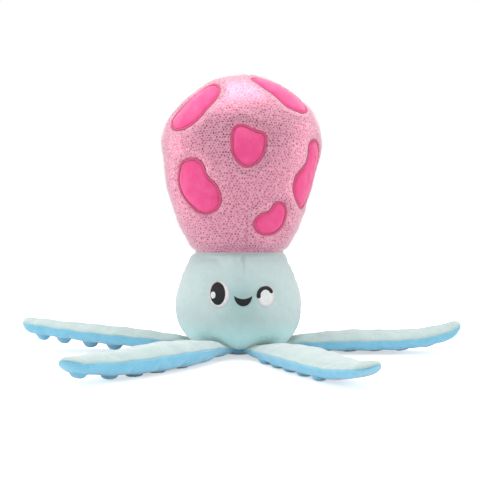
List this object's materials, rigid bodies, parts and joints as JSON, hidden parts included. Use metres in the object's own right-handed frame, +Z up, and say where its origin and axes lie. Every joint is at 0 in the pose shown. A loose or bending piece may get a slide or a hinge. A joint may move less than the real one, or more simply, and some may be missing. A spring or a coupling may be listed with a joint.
{
  "type": "plush squid",
  "caption": "Stuffed toy squid with a bulbous spotted mantle, a round head with an embroidered winking face, and flat tapering arms with suckers spread on the floor.",
  "frame": {"origin": "centre of the flat underside of the base, on the floor", "axes": "+Z up; the face looks toward -Y; +X to the viewer's right, along the longest span of the arms"},
  "size_m": [0.4403, 0.41, 0.276],
  "materials": {
    "mantle_fabric": "short pink velour printed with small close metallic dots",
    "spot_velvet": "bright pink short-pile velvet, satin-stitched round the edge in dusty rose",
    "pale_fabric": "pale aqua short-pile velour",
    "blue_fabric": "light blue short-pile velour",
    "stuffing": "white polyester fibre filling",
    "black_thread": "black satin-stitch embroidery",
    "white_thread": "white satin-stitch embroidery"
  },
  "bodies": {
    "body": {"mantle_front": "mantle_fabric", "mantle_back": "mantle_fabric", "mantle_stuffing": "stuffing", "head_front": "pale_fabric", "head_back": "pale_fabric", "head_stuffing": "stuffing", "base_panel": "blue_fabric", "spot_front": "spot_velvet", "spot_front_left": "spot_velvet", "spot_front_right": "spot_velvet", "spot_right": "spot_velvet", "spot_crown_left": "spot_velvet", "spot_crown_right": "spot_velvet", "spot_back": "spot_velvet", "spot_back_left": "spot_velvet", "spot_back_right": "spot_velvet", "spot_back_low": "spot_velvet", "eye_white": "white_thread", "eye_pupil": "black_thread", "eye_glint": "white_thread", "wink_white": "white_thread", "wink_arch": "black_thread", "mouth": "black_thread"},
    "arm_right": {"arm_right_upper": "pale_fabric", "arm_right_underside": "blue_fabric", "arm_right_stuffing": "stuffing"},
    "arm_rear_right": {"arm_rear_right_upper": "pale_fabric", "arm_rear_right_underside": "blue_fabric", "arm_rear_right_stuffing": "stuffing"},
    "arm_rear_left": {"arm_rear_left_upper": "pale_fabric", "arm_rear_left_underside": "blue_fabric", "arm_rear_left_stuffing": "stuffing"},
    "arm_left": {"arm_left_upper": "pale_fabric", "arm_left_underside": "blue_fabric", "arm_left_stuffing": "stuffing"},
    "arm_front_left": {"arm_front_left_upper": "pale_fabric", "arm_front_left_underside": "blue_fabric", "arm_front_left_stuffing": "stuffing"},
    "arm_front_right": {"arm_front_right_upper": "pale_fabric", "arm_front_right_underside": "blue_fabric", "arm_front_right_stuffing": "stuffing"}
  },
  "joints": [
    {"name": "arm_right_root", "type": "hinge", "parent": "body", "child": "arm_right", "pos_m": [0.043, 0, 0.007], "axis": [0, -1, 0], "range_deg": [-15, 25], "stiffness_Nm_per_rad": 0.3},
    {"name": "arm_rear_right_root", "type": "hinge", "parent": "body", "child": "arm_rear_right", "pos_m": [0.0215, 0.03724, 0.007], "axis": [0.866, -0.5, 0], "range_deg": [-15, 25], "stiffness_Nm_per_rad": 0.3},
    {"name": "arm_rear_left_root", "type": "hinge", "parent": "body", "child": "arm_rear_left", "pos_m": [-0.0215, 0.03724, 0.007], "axis": [0.866, 0.5, 0], "range_deg": [-15, 25], "stiffness_Nm_per_rad": 0.3},
    {"name": "arm_left_root", "type": "hinge", "parent": "body", "child": "arm_left", "pos_m": [-0.043, 0, 0.007], "axis": [0, 1, 0], "range_deg": [-15, 25], "stiffness_Nm_per_rad": 0.3},
    {"name": "arm_front_left_root", "type": "hinge", "parent": "body", "child": "arm_front_left", "pos_m": [-0.0215, -0.03724, 0.007], "axis": [-0.866, 0.5, 0], "range_deg": [-15, 25], "stiffness_Nm_per_rad": 0.3},
    {"name": "arm_front_right_root", "type": "hinge", "parent": "body", "child": "arm_front_right", "pos_m": [0.0215, -0.03724, 0.007], "axis": [-0.866, -0.5, 0], "range_deg": [-15, 25], "stiffness_Nm_per_rad": 0.3}
  ]
}
